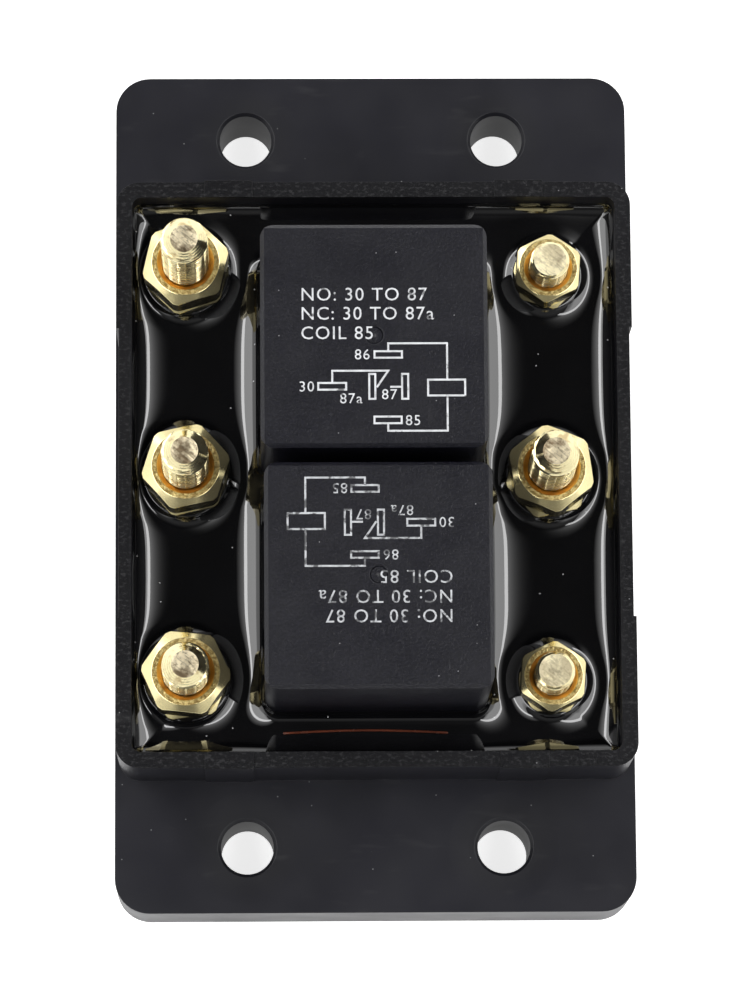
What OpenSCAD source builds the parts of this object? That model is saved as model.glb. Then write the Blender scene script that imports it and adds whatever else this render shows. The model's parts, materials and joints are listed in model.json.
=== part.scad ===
// Heavy-duty dual relay module: two changeover relays and six threaded
// terminal studs potted into a flanged, open-top tray.
// +X is to the right, +Y is towards the upper relay, +Z points out of the tray.
// The origin is the centre of the base's underside.

/* [Base] */
// How far the base stands out past each side of the tray
side_ledge = 0.4; // [0.1:0.1:4]
// Length of each flange, from the tray's end wall outwards
flange_length = 16.9; // [14:0.1:30]
// Thickness of the two flanges
base_thickness = 11.3; // [8:0.1:14]
// Radius of the base's four corners
base_corner_radius = 4.4; // [2:0.1:6]
// Distance between the fixing holes, left to right
hole_spacing_x = 32.5; // [30:0.5:36]
// Distance from a fixing hole's axis to the end of its flange
hole_end_distance = 8.3; // [6:0.1:9]
// Diameter of the fixing holes
hole_diameter = 6.7; // [4:0.1:8]
// Width of the bevel round each fixing hole
hole_bevel = 0.4; // [0.1:0.1:1]
// Diameter of the boss that is left round each hole underneath
hole_boss_diameter = 13; // [11:0.5:14]
// Skin over the hollows under the flanges
flange_skin = 3.2; // [2:0.1:5]
// Wall round the hollows under the flanges
flange_wall = 2.2; // [1.5:0.1:3]
// Rib between the two middle hollows
flange_rib = 2; // [1:0.1:4]

/* [Tray] */
// Width of the channel between the relays and each side wall
channel_width = 16.6; // [14:0.1:22]
// Distance from the relays to the end walls, on average
end_gap = 6.5; // [5:0.1:12]
// Height of the tray's rim above the underside
tray_height = 24; // [22:0.1:28]
// Thickness of the tray's walls
tray_wall = 2; // [1.4:0.1:2.4]
// Thickness of the tray's floor
tray_floor = 3; // [2:0.1:4]
// Radius of the tray's outer corners
tray_corner_radius = 3; // [1.5:0.1:4]
// Radius of the tray's inner corners
tray_inner_radius = 1.2; // [0.6:0.1:2]
// Length of the shallow recess in each side wall
recess_length = 37; // [20:1:50]
// Depth of the shallow recess in each side wall
recess_depth = 0.35; // [0.1:0.05:0.8]
// Width of the low pads on the end walls
pad_width = 6.1; // [3:0.1:8]
// How far the low pads stand out of the end walls and the rim
pad_height = 0.2; // [0.1:0.05:0.4]
// Distance from the middle of the end wall to the middle of a pad
pad_offset = 18.4; // [12:0.1:22]

/* [Potting] */
// Height of the potting's level surface above the underside
potting_level = 18.3; // [17.5:0.1:19]
// Radius of the fillet where the potting creeps up what it meets
potting_fillet = 1.6; // [0.8:0.1:2]

/* [Circuit board] */
// Height of the board's lower face above the underside
board_level = 13; // [12:0.1:13.2]
// Thickness of the board
board_thickness = 1.6; // [1.2:0.1:1.8]
// Gap between the board's edge and the tray's walls
board_margin = 1; // [0.5:0.1:1.5]
// Side of the four corner posts that carry the board
post_side = 3.2; // [2.5:0.1:3.6]
// Thickness of the copper busbars and cross links
busbar_thickness = 1.4; // [0.8:0.1:1.6]
// Width of the motor busbars
motor_bar_width = 7; // [4:0.1:7]
// Width of the supply busbars
supply_bar_width = 4.6; // [3:0.1:4.6]
// Width of the cross links under the board
link_width = 3; // [2.6:0.1:3]
// Width of the two trigger tabs
trigger_tab_width = 4; // [3:0.1:6]
// Diameter of the bare link wire at the potting's surface
wire_diameter = 0.3; // [0.2:0.05:0.6]

/* [Studs and nuts] */
// Thread diameter of the four power studs
power_stud_diameter = 5.9; // [5:0.05:6]
// Thread diameter of the two trigger studs
trigger_stud_diameter = 4.9; // [4:0.05:5]
// Diameter of the flat end of a power stud
power_stud_end = 3.4; // [2:0.1:4.8]
// Diameter of the flat end of a trigger stud
trigger_stud_end = 4.1; // [2:0.1:4.8]
// Distance across the flats of the power nuts
power_nut_flats = 10; // [9:0.1:10.4]
// Distance across the flats of the trigger nuts
trigger_nut_flats = 8; // [7:0.1:9]
// Height of the power nuts
power_nut_height = 5; // [4:0.1:6]
// Height of the trigger nuts
trigger_nut_height = 4; // [3.2:0.1:5]
// Height of the bolt heads of the power studs
power_head_height = 4; // [2:0.1:5]
// Height of the bolt heads of the trigger studs
trigger_head_height = 3.5; // [2:0.1:5]
// Height of the bevel on a power nut's corners
power_nut_bevel = 0.85; // [0.2:0.05:0.9]
// Height of the bevel on a trigger nut's corners
trigger_nut_bevel = 0.55; // [0.2:0.05:0.6]
// Width of the bevel at the mouth of a nut's bore
nut_mouth = 0.5; // [0.2:0.05:0.9]
// How far the left column stands from its channel's middle, towards the wall
left_column_lean = 1.5; // [-1.5:0.1:1.5]
// How far the right column stands from its channel's middle, towards the relays
right_column_lean = 0.2; // [-1.5:0.1:1.5]
// Distance from the end studs' axes to the end walls
stud_wall_distance = 9.3; // [8:0.1:12]
// How far the left column is shifted towards +Y
left_column_shift = 0.5; // [0:0.1:1]
// How far the right column is shifted towards +Y
right_column_shift = 0.1; // [0:0.1:1]
// Thread showing above the nut, left stud at the top
left_top_reach = 13; // [4:0.5:20]
// Thread showing above the nut, left stud in the middle
left_middle_reach = 10; // [4:0.5:20]
// Thread showing above the nut, left stud at the bottom
left_bottom_reach = 6.5; // [4:0.5:20]
// Thread showing above the nut, right stud in the middle
right_middle_reach = 11; // [4:0.5:20]
// Thread showing above the nut, both trigger studs
trigger_reach = 4.5; // [3:0.5:12]

/* [Relays] */
// Side of a relay's square cover
relay_side = 28; // [27.6:0.1:28.2]
// Height of a relay from its underside to its top
relay_height = 25; // [24.9:0.1:27]
// Radius of the cover's upright edges
cover_edge_radius = 1.7; // [0.8:0.1:2.5]
// Bevel round the cover's top
cover_top_bevel = 0.5; // [0.2:0.1:0.8]
// Wall thickness of the cover
cover_wall = 1; // [0.6:0.1:1]
// Thickness of the cover's top
cover_top_thickness = 1.2; // [0.8:0.1:1.2]
// Diameter of the moulding mark on the cover's top
mark_diameter = 2.2; // [1:0.1:3]
// Depth of the moulding mark
mark_depth = 0.15; // [0.05:0.05:0.3]
// Gap between the two relays
relay_gap = 1.8; // [0.5:0.1:4]
// How far the pair of relays is shifted towards -Y
relay_pair_shift = 1; // [0:0.1:2]
// How far the upper relay is shifted to the left
upper_relay_shift = 0.4; // [0:0.1:0.6]
// Thickness of a relay's base plate
relay_base_thickness = 3; // [2:0.1:3]
// How far the relay's pins reach below it
pin_length = 4.8; // [4.5:0.1:5]
// Thickness of the relay's terminal strips
strip_thickness = 0.8; // [0.5:0.05:0.8]
// Width of the relay's pins
pin_width = 1.6; // [1:0.1:1.6]

/* [Relay motor] */
// Angle through which the armature swings
armature_swing = 4; // [2:0.25:4]
// Thickness of the yoke's steel
yoke_thickness = 1.5; // [1:0.1:1.5]
// Width of the yoke and the armature
yoke_width = 12; // [8:0.5:14]
// Distance from the core's axis to the yoke's inner face
yoke_offset = 7; // [6.8:0.1:7]
// Room above the yoke's upright leg, up to the cover's top
motor_headroom = 7.3; // [7.2:0.1:7.6]
// Diameter of the iron core
core_diameter = 6; // [4:0.1:6]
// Diameter of the core's pole face
pole_diameter = 9; // [7:0.1:10]
// Thickness of the pole face
pole_thickness = 0.75; // [0.5:0.05:0.75]
// Diameter of the bobbin's flanges
bobbin_diameter = 13; // [11:0.1:13.2]
// Thickness of the bobbin's flanges
bobbin_flange = 1; // [0.6:0.1:1.5]
// Thickness of the bobbin's tube
bobbin_tube = 0.6; // [0.4:0.1:1]
// How far the winding stays inside the bobbin's flanges
winding_inset = 0.3; // [0.1:0.1:1]
// Thickness of the armature
armature_thickness = 1.5; // [1:0.1:1.5]
// Thickness of the contact blade
blade_thickness = 0.4; // [0.2:0.05:0.4]
// Distance from the core's axis to the contacts
contact_offset = 9; // [8.5:0.1:9]
// Diameter of the contact buttons
contact_diameter = 3; // [2:0.1:3]
// How far a contact button stands out of its strip
contact_height = 0.8; // [0.5:0.05:0.85]
// Outer diameter of the return spring
spring_diameter = 2; // [1.4:0.1:2.2]
// Inner diameter of the return spring
spring_bore = 1.2; // [0.6:0.1:1.3]

/* [Hidden] */

$fn = 64;
half_share = 1 / 2;
overrun = 1;

// Clearances
thread_clearance = 0.05;
thread_root_share = 0.83;
root_gap = 0.6;
slot_clearance = 0.05;
snap_clearance = 0.1;
touch_gap = 0.05;

// Places of the tray and what lies in it
tray_inner_width = relay_side + 2 * channel_width;
tray_inner_length = 2 * (relay_side + end_gap) + relay_gap;
tray_width = tray_inner_width + 2 * tray_wall;
tray_length = tray_inner_length + 2 * tray_wall;
base_width = tray_width + 2 * side_ledge;
base_length = tray_length + 2 * flange_length;
hole_spacing_y = base_length - 2 * hole_end_distance;
board_top = board_level + board_thickness;
relay_level = board_top + busbar_thickness;
link_level = board_level - busbar_thickness;
relay_top = relay_level + relay_height;
potting_root_depth = 0.5;
fillet_flats = 5;
collar_share = 0.4;
wire_run_length = 20.5;
wire_left_offset = 11.6;
wire_wall_gap = 2.9;

// Places of the studs: left or right column, and row counted up from the middle
LEFT = 0;
RIGHT = 1;
channel_middle = (relay_side + channel_width) * half_share;
stud_x = [-channel_middle - left_column_lean, channel_middle - right_column_lean];
stud_pitch = tray_inner_length * half_share - stud_wall_distance;
column_shift = [left_column_shift, right_column_shift];
stud_reach = [[left_bottom_reach, left_middle_reach, left_top_reach],
    [trigger_reach, right_middle_reach, trigger_reach]];
// Turn of each seat nut and each terminal nut about its stud
seat_turn = [[8, 13, 18], [-2, 12, 44]];
nut_turn = [[-6, 12, 17], [26, 38, 26]];
pad_ring_width = 2;
tab_ring_width = 1.5;
tab_tail_length = 8;

// Places of the two relays
UPPER = 0;
LOWER = 1;
relay_x = [-upper_relay_shift, 0];
relay_half_pitch = (relay_side + relay_gap) * half_share;
relay_y = [relay_half_pitch - relay_pair_shift, -relay_half_pitch - relay_pair_shift];
relay_turn = [0, 180];

// Inside a relay, from its underside and its core's axis
cover_inside = relay_side - 2 * cover_wall;
base_side = cover_inside - 2 * snap_clearance;
cover_ceiling = relay_height - cover_top_thickness;
yoke_outside = yoke_offset + yoke_thickness;
yoke_height = relay_height - motor_headroom;
yoke_floor = relay_base_thickness + yoke_thickness;
yoke_foot_length = 4.5;
arm_level = yoke_height + 2 * touch_gap;
pole_level = arm_level - touch_gap - pole_thickness;
bobbin_top = pole_level - 2 * touch_gap;
pivot_x = -(yoke_offset + yoke_thickness * half_share);
nose_length = 5.5;
heel_length = 3.6;
arm_heel = pivot_x - heel_length;
blade_level = arm_level + armature_thickness;
blade_tail_length = 4;
blade_width = 8;
blade_tip_width = 4;
blade_step_offset = 6;
rivet_diameter = 2;
rivet_height = 0.5;
rivet_places = [-1.5, 3];
button_top = blade_level + blade_thickness + contact_height;
button_reach = contact_offset + contact_diameter * half_share - pivot_x;
closed_contact_level = arm_level + touch_gap + (button_top - arm_level) * cos(armature_swing)
    + button_reach * sin(armature_swing);
open_contact_level = blade_level - contact_height - touch_gap;
post_offset = 11.2;
post_side_offset = 3;
post_width = 2.8;
tab_start_offset = 7.5;
tab_half_width = 1.3;
common_width = 5;
common_height = 9;
lug_height = 10;
lug_thickness = 1;
lug_width = 3;
lug_tip_offset = 11.4;
spring_offset = 10.3;
spring_foot = lug_height + lug_thickness;
spring_top = arm_level - heel_length * sin(armature_swing) - touch_gap;
coil_terminal_offset = 8.6;
coil_terminal_spread = 10.5;
coil_terminal_height = 5.5;
resistor_diameter = 2.2;
resistor_length = 6.5;
lead_diameter = 0.6;
resistor_height = 1.2;

// Colours
BLACK_PLASTIC = [0.13, 0.13, 0.14];
POTTING_BLACK = [0.03, 0.03, 0.035];
COVER_GREY = [0.19, 0.19, 0.2];
BRASS = [0.86, 0.74, 0.42];
COPPER = [0.72, 0.42, 0.26];
BOARD_GREEN = [0.1, 0.32, 0.16];
STEEL = [0.62, 0.63, 0.65];
SPRING_STEEL = [0.5, 0.5, 0.52];
BOBBIN_BROWN = [0.35, 0.24, 0.16];
SILVER = [0.8, 0.8, 0.82];
WIRE_RED = [0.5, 0.2, 0.12];
RESISTOR_BLUE = [0.3, 0.42, 0.55];

// Flat outline of a rectangle with round corners, centred
module rounded_rect(width, length, radius) {
    square([width - 2 * radius, length], center = true);
    square([width, length - 2 * radius], center = true);
    for (x = [-1, 1], y = [-1, 1])
        translate([x * (width * half_share - radius), y * (length * half_share - radius)])
            circle(radius);
}

// Upright prism with round corners, centred on X and Y
module rounded_block(width, length, radius, low, high) {
    translate([0, 0, low])
        linear_extrude(high - low)
            rounded_rect(width, length, radius);
}

// Box between two corners
module box_between(low, high) {
    translate(low)
        cube(high - low);
}

// Box centred on X and Y, from one height to another
module pillar(width, length, low, high) {
    translate([0, 0, (low + high) * half_share])
        cube([width, length, high - low], center = true);
}

// Bevel for a set of edges: the corner that a beam of this profile keeps
module bevelled_beam(width, length, height, bevel) {
    rotate([90, 0, 0])
        translate([0, 0, -length * half_share])
            linear_extrude(length)
                polygon([
                    [-width * half_share, -overrun],
                    [width * half_share, -overrun],
                    [width * half_share, height - bevel],
                    [width * half_share - bevel, height],
                    [-width * half_share + bevel, height],
                    [-width * half_share, height - bevel]
                ]);
}

// Hollows under one flange, on its right half
module flange_hollows() {
    inner_y = tray_length * half_share;
    outer_y = base_length * half_share - flange_wall;
    boss_x = hole_spacing_x * half_share;
    boss_r = hole_boss_diameter * half_share;
    top = base_thickness - flange_skin;
    box_between([flange_rib * half_share, inner_y, -overrun], [boss_x - boss_r, outer_y, top]);
    box_between([boss_x + boss_r, inner_y, -overrun],
        [base_width * half_share - flange_wall, outer_y, top]);
}

// Fixing hole with a bevel at its mouth
module fixing_hole() {
    translate([0, 0, -overrun])
        cylinder(d = hole_diameter, h = base_thickness + 2 * overrun);
    translate([0, 0, base_thickness - hole_bevel])
        cylinder(d1 = hole_diameter, d2 = hole_diameter + 4 * hole_bevel, h = 2 * hole_bevel);
}

// Corner posts that carry the circuit board
module board_posts(low, high) {
    for (x = [-1, 1], y = [-1, 1])
        translate([x * (tray_inner_width - post_side) * half_share,
            y * (tray_inner_length - post_side) * half_share, 0])
            pillar(post_side, post_side, low, high);
}

module housing() {
    color(BLACK_PLASTIC) {
        difference() {
            union() {
                rounded_block(base_width, base_length, base_corner_radius, 0, base_thickness);
                rounded_block(tray_width, tray_length, tray_corner_radius, 0, tray_height);
                for (x = [-pad_offset, pad_offset])
                    translate([x, 0, 0])
                        pillar(pad_width, tray_length + 2 * pad_height, base_thickness,
                            tray_height + pad_height);
            }
            rounded_block(tray_inner_width, tray_inner_length, tray_inner_radius,
                tray_floor, tray_height + overrun);
            for (x = [-1, 1], y = [-1, 1])
                translate([x * hole_spacing_x * half_share, y * hole_spacing_y * half_share, 0])
                    fixing_hole();
            for (x = [0, 1], y = [0, 1])
                mirror([x, 0, 0])
                    mirror([0, y, 0])
                        flange_hollows();
            for (x = [0, 1])
                mirror([x, 0, 0])
                    box_between([tray_width * half_share - recess_depth, -recess_length * half_share,
                        base_thickness], [base_width, recess_length * half_share,
                        tray_height + overrun]);
        }
        intersection() {
            board_posts(tray_floor, board_level);
            rounded_block(tray_inner_width, tray_inner_length, tray_inner_radius,
                tray_floor, board_level);
        }
    }
}

// Sizes of a stud by its place
function is_power(column, row) = column == LEFT || row == 1;
function stud_d(column, row) = is_power(column, row) ? power_stud_diameter : trigger_stud_diameter;
function stud_end(column, row) = is_power(column, row) ? power_stud_end : trigger_stud_end;
function nut_flats(column, row) = is_power(column, row) ? power_nut_flats : trigger_nut_flats;
function nut_height(column, row) = is_power(column, row) ? power_nut_height : trigger_nut_height;
function nut_bevel(column, row) = is_power(column, row) ? power_nut_bevel : trigger_nut_bevel;
function head_height(column, row) = is_power(column, row) ? power_head_height : trigger_head_height;
function stud_y(column, row) = column_shift[column] + (row - 1) * stud_pitch;
function nut_top(column, row) = relay_level + 2 * nut_height(column, row);
function stud_top(column, row) = nut_top(column, row) + stud_reach[column][row];

// Puts its children on a stud's axis
module at_stud(column, row) {
    translate([stud_x[column], stud_y(column, row), 0])
        children();
}

// Plain hexagonal prism from its distance across flats
module hexagon(flats, low, high) {
    translate([0, 0, low])
        cylinder(d = flats / cos(30), h = high - low, $fn = 6);
}

// Hexagonal nut with bevelled corners and a bore bevelled at both mouths
module nut(column, row, level, turn) {
    flats = nut_flats(column, row);
    high = nut_height(column, row);
    corner_r = flats / cos(30) * half_share;
    bevel = nut_bevel(column, row);
    face_r = corner_r - bevel / tan(30);
    bore_r = stud_d(column, row) * half_share + thread_clearance;
    color(BRASS)
        at_stud(column, row)
            translate([0, 0, level])
                rotate([0, 0, turn])
                    difference() {
                        intersection() {
                            hexagon(flats, 0, high);
                            rotate_extrude()
                                polygon([
                                    [0, 0],
                                    [face_r, 0],
                                    [corner_r, bevel],
                                    [corner_r, high - bevel],
                                    [face_r, high],
                                    [0, high]
                                ]);
                        }
                        translate([0, 0, -overrun])
                            cylinder(r = bore_r, h = high + 2 * overrun);
                        cylinder(r1 = bore_r + nut_mouth, r2 = bore_r, h = nut_mouth);
                        translate([0, 0, high - nut_mouth])
                            cylinder(r1 = bore_r, r2 = bore_r + nut_mouth, h = nut_mouth);
                    }
}

// Headed stud, its head under the circuit board; a groove as deep as the
// thread, just above the nut, sets its free end apart from the shank
module stud(column, row) {
    r = stud_d(column, row) * half_share;
    end_r = stud_end(column, row) * half_share;
    top = stud_top(column, row);
    groove_level = nut_top(column, row);
    free_level = groove_level + root_gap;
    color(BRASS)
        at_stud(column, row) {
            hexagon(nut_flats(column, row), board_level - head_height(column, row), board_level);
            translate([0, 0, board_level])
                cylinder(r = r, h = groove_level - board_level);
            translate([0, 0, groove_level])
                cylinder(r = r * thread_root_share, h = root_gap);
            translate([0, 0, free_level])
                cylinder(r = r, h = top - (r - end_r) - free_level);
            translate([0, 0, top - (r - end_r)])
                cylinder(r1 = r, r2 = end_r, h = r - end_r);
        }
}

module seat_nut(column, row) {
    nut(column, row, relay_level, seat_turn[column][row]);
}

module terminal_nut(column, row) {
    nut(column, row, relay_level + nut_height(column, row), nut_turn[column][row]);
}

// Bar of one width through points that step along X or Y
module strip_path(points, width) {
    for (i = [0 : len(points) - 2]) {
        low = [min(points[i][0], points[i + 1][0]), min(points[i][1], points[i + 1][1])];
        high = [max(points[i][0], points[i + 1][0]), max(points[i][1], points[i + 1][1])];
        translate(low - [width, width] * half_share)
            square(high - low + [width, width]);
    }
}

// Puts its children in a relay's own place
module at_relay(which) {
    translate([relay_x[which], relay_y[which], 0])
        rotate([0, 0, relay_turn[which]])
            children();
}

// Middle of each of a relay's pins, in its own place
pin_mid_x = post_offset + strip_thickness * half_share;
common_x = -yoke_outside - strip_thickness * half_share;
PIN_PLACES = [[pin_mid_x, -post_side_offset], [pin_mid_x, post_side_offset], [common_x, 0],
    [coil_terminal_offset, coil_terminal_spread], [coil_terminal_offset, -coil_terminal_spread]];
OPEN_PIN = 0;
CLOSED_PIN = 1;
COMMON_PIN = 2;

// Place of a relay's pin in the module
function pin_place(which, pin) = [
    relay_x[which] + (which == UPPER ? 1 : -1) * PIN_PLACES[pin][0],
    relay_y[which] + (which == UPPER ? 1 : -1) * PIN_PLACES[pin][1]
];

// Outline of one pin, widened by a gap
module pin_outline(gap) {
    square([strip_thickness + 2 * gap, pin_width + 2 * gap], center = true);
}

// Outlines of all pins, widened by a gap
module pin_outlines(gap) {
    for (which = [UPPER, LOWER])
        at_relay(which)
            for (place = PIN_PLACES)
                translate(place)
                    pin_outline(gap);
}

// Outlines of the copper bars, without their holes
module motor_a_outline() {
    pin = pin_place(UPPER, COMMON_PIN);
    y = stud_y(LEFT, 2);
    strip_path([[stud_x[LEFT], y], [pin[0], y], pin], motor_bar_width);
    translate([stud_x[LEFT], y])
        circle(power_nut_flats * half_share + pad_ring_width * half_share);
}

module motor_b_outline() {
    pin = pin_place(LOWER, COMMON_PIN);
    y = stud_y(RIGHT, 1);
    leg_y = y - motor_bar_width * half_share;
    strip_path([[stud_x[RIGHT], leg_y], [pin[0], leg_y], pin], motor_bar_width);
    translate([stud_x[RIGHT], y])
        circle(power_nut_flats * half_share + pad_ring_width * half_share);
}

module positive_outline() {
    pin = pin_place(LOWER, OPEN_PIN);
    y = stud_y(LEFT, 1);
    strip_path([[stud_x[LEFT], y], [pin[0], y], pin], supply_bar_width);
    translate([stud_x[LEFT], y])
        circle(power_nut_flats * half_share + pad_ring_width * half_share);
}

module negative_outline() {
    pin = pin_place(LOWER, CLOSED_PIN);
    y = stud_y(LEFT, 0);
    strip_path([[stud_x[LEFT], y], [pin[0], y], pin], supply_bar_width);
    translate([stud_x[LEFT], y])
        circle(power_nut_flats * half_share + pad_ring_width * half_share);
}

// Crosses under the board between the relays' open contacts
module positive_link_outline() {
    start = pin_place(LOWER, OPEN_PIN);
    finish = pin_place(UPPER, OPEN_PIN);
    strip_path([start, [relay_x[LOWER], start[1]], [relay_x[LOWER], finish[1]], finish], link_width);
}

// Crosses under the board outside the positive link
module negative_link_outline() {
    start = pin_place(LOWER, CLOSED_PIN);
    finish = pin_place(UPPER, CLOSED_PIN);
    lane_x = finish[0] + link_width + snap_clearance * 2;
    strip_path([start, [lane_x, start[1]], [lane_x, finish[1]], finish], link_width);
}

module trigger_tab_outline(row) {
    translate([stud_x[RIGHT], stud_y(RIGHT, row)]) {
        circle(trigger_nut_flats * half_share + tab_ring_width);
        translate([-tab_tail_length, -trigger_tab_width * half_share])
            square([tab_tail_length, trigger_tab_width]);
    }
}

// Copper bar on the board: its outline, bored for a stud and slotted for pins
module top_bar(column, row) {
    color(COPPER)
        translate([0, 0, board_top])
            linear_extrude(busbar_thickness)
                difference() {
                    children();
                    translate([stud_x[column], stud_y(column, row)])
                        circle(stud_d(column, row) * half_share + thread_clearance);
                    pin_outlines(slot_clearance);
                }
}

// Copper bar under the board, slotted for pins
module bottom_bar() {
    color(COPPER)
        translate([0, 0, link_level])
            linear_extrude(busbar_thickness)
                difference() {
                    children();
                    pin_outlines(slot_clearance);
                }
}

module circuit_board() {
    color(BOARD_GREEN)
        translate([0, 0, board_level])
            linear_extrude(board_thickness)
                difference() {
                    square([tray_inner_width - 2 * board_margin,
                        tray_inner_length - 2 * board_margin], center = true);
                    for (column = [LEFT, RIGHT], row = [0, 1, 2])
                        translate([stud_x[column], stud_y(column, row)])
                            circle(stud_d(column, row) * half_share + thread_clearance);
                    pin_outlines(slot_clearance);
                }
}

// Route of the link wire: up from the board, along the surface and down again
module wire_form(radius) {
    y = -tray_inner_length * half_share + wire_wall_gap;
    level = potting_level - wire_diameter * half_share;
    for (x = [-wire_left_offset, -wire_left_offset + wire_run_length])
        translate([x, y, board_top])
            cylinder(r = radius, h = level - board_top);
    translate([-wire_left_offset, y, level])
        rotate([0, 90, 0])
            cylinder(r = radius, h = wire_run_length);
    for (x = [-wire_left_offset, -wire_left_offset + wire_run_length])
        translate([x, y, level])
            sphere(radius);
}

module link_wire() {
    color(WIRE_RED)
        wire_form(wire_diameter * half_share);
}

// Flat profile of a hollow fillet in short flats, its corner at the origin
module fillet_profile(radius) {
    polygon(concat(
        [[0, -potting_root_depth], [radius, -potting_root_depth]],
        [for (i = [0 : fillet_flats])
            let (a = i * 90 / fillet_flats)
                [radius - radius * sin(a), radius - radius * cos(a)]]
    ));
}

// Straight fillet along +Y that rises against the plane x = 0
module fillet_run(length) {
    translate([0, length * half_share, potting_level])
        rotate([90, 0, 0])
            linear_extrude(length)
                fillet_profile(potting_fillet);
}

// Potting: fills the tray round everything that is sunk in it
module potting() {
    half_x = tray_inner_width * half_share;
    half_y = tray_inner_length * half_share;
    color(POTTING_BLACK)
        difference() {
            union() {
                rounded_block(tray_inner_width, tray_inner_length, tray_inner_radius,
                    tray_floor, potting_level);
                intersection() {
                    rounded_block(tray_inner_width, tray_inner_length, tray_inner_radius,
                        potting_level - potting_root_depth, tray_height);
                    union() {
                        for (turn = [0, 180])
                            rotate([0, 0, turn]) {
                                translate([-half_x, 0, 0])
                                    fillet_run(tray_inner_length);
                                rotate([0, 0, 90])
                                    translate([-half_y, 0, 0])
                                        fillet_run(tray_inner_width);
                            }
                        for (which = [UPPER, LOWER])
                            translate([relay_x[which], relay_y[which], 0])
                                for (side = [0, 180])
                                    rotate([0, 0, side])
                                        translate([relay_side * half_share, 0, 0])
                                            fillet_run(relay_side - 2 * cover_edge_radius);
                        for (which = [UPPER, LOWER])
                            at_relay(which)
                                rotate([0, 0, 90])
                                    translate([relay_side * half_share, 0, 0])
                                        fillet_run(relay_side - 2 * cover_edge_radius);
                        for (column = [LEFT, RIGHT], row = [0, 1, 2])
                            at_stud(column, row)
                                translate([0, 0, potting_level])
                                    rotate_extrude()
                                        nut_collar_profile(column, row);
                    }
                }
            }
            translate([0, 0, board_level])
                linear_extrude(board_thickness)
                    square([tray_inner_width - 2 * board_margin,
                        tray_inner_length - 2 * board_margin], center = true);
            translate([0, 0, board_top])
                linear_extrude(busbar_thickness) {
                    motor_a_outline();
                    motor_b_outline();
                    positive_outline();
                    negative_outline();
                    trigger_tab_outline(0);
                    trigger_tab_outline(2);
                    pin_outlines(0);
                }
            translate([0, 0, link_level])
                linear_extrude(busbar_thickness) {
                    positive_link_outline();
                    negative_link_outline();
                }
            translate([0, 0, relay_level - pin_length])
                linear_extrude(pin_length)
                    pin_outlines(0);
            for (which = [UPPER, LOWER])
                translate([relay_x[which], relay_y[which], 0])
                    rounded_block(relay_side, relay_side, cover_edge_radius,
                        relay_level, relay_top);
            for (column = [LEFT, RIGHT], row = [0, 1, 2])
                at_stud(column, row) {
                    hexagon(nut_flats(column, row), board_level - head_height(column, row),
                        board_level);
                    rotate([0, 0, seat_turn[column][row]])
                        hexagon(nut_flats(column, row), relay_level,
                            relay_level + nut_height(column, row));
                }
            board_posts(tray_floor - overrun, board_level);
            wire_form(wire_diameter * half_share + touch_gap);
        }
}

// Profile of the potting's collar round a seat nut
module nut_collar_profile(column, row) {
    flat_r = nut_flats(column, row) * half_share;
    ring_r = flat_r + (flat_r / cos(30) - flat_r) * collar_share;
    translate([ring_r, 0])
        fillet_profile(potting_fillet);
    translate([0, -potting_root_depth])
        square([ring_r, potting_root_depth + potting_fillet]);
}

// Relay cover: a thin square cap with a moulding mark in its top
module relay_cover(which) {
    color(COVER_GREY)
        at_relay(which)
            translate([0, 0, relay_level])
                difference() {
                    intersection() {
                        rounded_block(relay_side, relay_side, cover_edge_radius, 0, relay_height);
                        bevelled_beam(relay_side, relay_side, relay_height, cover_top_bevel);
                        rotate([0, 0, 90])
                            bevelled_beam(relay_side, relay_side, relay_height, cover_top_bevel);
                    }
                    pillar(cover_inside, cover_inside, -overrun, cover_ceiling);
                    translate([0, 0, relay_height - mark_depth])
                        cylinder(d = mark_diameter, h = mark_depth + overrun);
                }
}

module relay_base(which) {
    color(BLACK_PLASTIC)
        at_relay(which)
            translate([0, 0, relay_level])
                linear_extrude(relay_base_thickness)
                    difference() {
                        square(base_side, center = true);
                        for (place = PIN_PLACES)
                            translate(place)
                                pin_outline(slot_clearance);
                    }
}

// Steel yoke: foot under the coil, upright leg beside it, lug for the spring
module yoke(which) {
    color(STEEL)
        at_relay(which)
            translate([0, 0, relay_level]) {
                difference() {
                    box_between([-yoke_outside, -yoke_width * half_share, relay_base_thickness],
                        [yoke_foot_length, yoke_width * half_share, yoke_floor]);
                    translate([0, 0, relay_base_thickness - overrun])
                        cylinder(d = core_diameter + 2 * slot_clearance, h = yoke_thickness + 2 * overrun);
                }
                box_between([-yoke_outside, -yoke_width * half_share, relay_base_thickness],
                    [-yoke_offset, yoke_width * half_share, yoke_height]);
                box_between([-lug_tip_offset, -lug_width * half_share, lug_height],
                    [-yoke_offset, lug_width * half_share, lug_height + lug_thickness]);
            }
}

module core(which) {
    color(STEEL)
        at_relay(which)
            translate([0, 0, relay_level]) {
                translate([0, 0, relay_base_thickness])
                    cylinder(d = core_diameter, h = pole_level - relay_base_thickness);
                translate([0, 0, pole_level])
                    cylinder(d = pole_diameter, h = pole_thickness);
            }
}

module bobbin(which) {
    tube_r = core_diameter * half_share + slot_clearance + bobbin_tube;
    color(BOBBIN_BROWN)
        at_relay(which)
            translate([0, 0, relay_level])
                difference() {
                    union() {
                        for (low = [yoke_floor, bobbin_top - bobbin_flange])
                            translate([0, 0, low])
                                cylinder(d = bobbin_diameter, h = bobbin_flange);
                        translate([0, 0, yoke_floor])
                            cylinder(r = tube_r, h = bobbin_top - yoke_floor);
                    }
                    translate([0, 0, yoke_floor - overrun])
                        cylinder(d = core_diameter + 2 * slot_clearance,
                            h = bobbin_top - yoke_floor + 2 * overrun);
                }
}

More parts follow.
